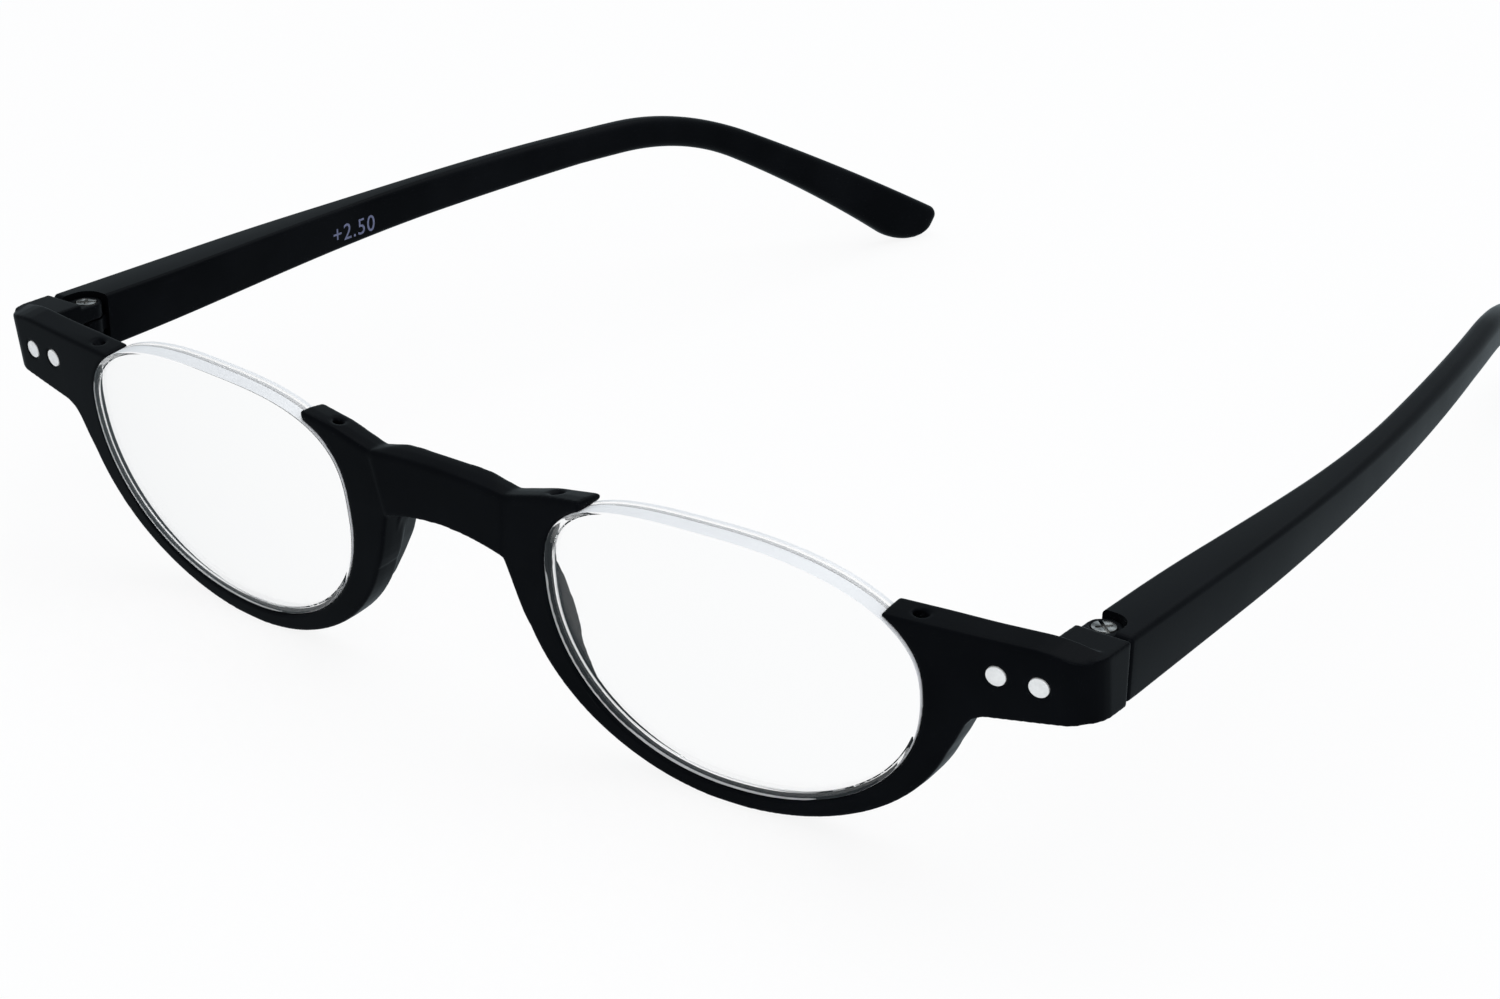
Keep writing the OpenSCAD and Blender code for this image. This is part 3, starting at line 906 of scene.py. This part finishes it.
def addFloor(s):
    clearPick()
    lowest = cadBox[0].z
    bpy.ops.mesh.primitive_plane_add(size=2 * s["floorHalf"], location=(0, 0, lowest))
    floor = bpy.context.active_object
    floor.name = "paleFloor"
    pick(floor)
    bpy.ops.object.transform_apply(location=True, rotation=True, scale=True)
    material, tree, shader = newMaterial("floorPaper")
    shader.inputs["Base Color"].default_value = (*s["floorColour"], 1)
    shader.inputs["Roughness"].default_value = s["floorRough"]
    shader.inputs["Specular IOR Level"].default_value = 0.0
    glow = tree.nodes.new("ShaderNodeEmission")
    glow.inputs["Color"].default_value = (1, 1, 1, 1)
    clear = tree.nodes.new("ShaderNodeBsdfTransparent")
    surface = tree.nodes["Material Output"].inputs["Surface"]
    seenAsWhite(tree, shader.outputs[0], clear.outputs[0], glow.outputs[0], surface, 1 - s["floorShade"])
    floor.data.materials.append(material)


# the room that reflections see is brighter to one side
def addWorld(s):
    world = bpy.data.worlds.new("softRoom")
    bpy.context.scene.world = world
    world.use_nodes = True
    tree = world.node_tree
    room = tree.nodes["Background"]
    room.inputs["Color"].default_value = (*s["worldLight"], 1)
    room.inputs["Strength"].default_value = s["worldStrength"]
    white = tree.nodes.new("ShaderNodeBackground")
    white.inputs["Color"].default_value = (1, 1, 1, 1)
    mirrored = tree.nodes.new("ShaderNodeBackground")
    mirrored.inputs["Color"].default_value = (*s["mirrorColour"], 1)
    where = tree.nodes.new("ShaderNodeTexCoord")
    facing = tree.nodes.new("ShaderNodeVectorMath")
    facing.operation = "DOT_PRODUCT"
    facing.inputs[1].default_value = s["mirrorSide"]
    tree.links.new(where.outputs["Generated"], facing.inputs[0])
    toSide = addRange(tree, facing.outputs["Value"], 0.0, 1.0, -1.0, 1.0)
    steep = tree.nodes.new("ShaderNodeMath")
    steep.operation = "POWER"
    steep.inputs[1].default_value = s["mirrorSteep"]
    tree.links.new(toSide, steep.inputs[0])
    bright = addRange(tree, steep.outputs[0], s["mirrorLow"], s["mirrorHigh"], 0.0, 1.0)
    tree.links.new(bright, mirrored.inputs["Strength"])
    surface = tree.nodes["World Output"].inputs["Surface"]
    seenAsWhite(tree, room.outputs[0], mirrored.outputs[0], white.outputs[0], surface)


def addLamps(s):
    for lamp in s["lamps"]:
        bpy.ops.object.light_add(type="AREA", location=lamp["place"])
        light = bpy.context.active_object
        light.name = lamp["name"]
        light.data.shape = "SQUARE"
        light.data.size = lamp["size"]
        light.data.energy = lamp["power"]
        aim = Vector(s["aim"]) - Vector(lamp["place"])
        light.rotation_euler = aim.to_track_quat("-Z", "Y").to_euler()


addFloor(studio)
addWorld(studio)
addLamps(studio)
bpy.context.scene.view_settings.view_transform = "Standard"
print("studio is lit")
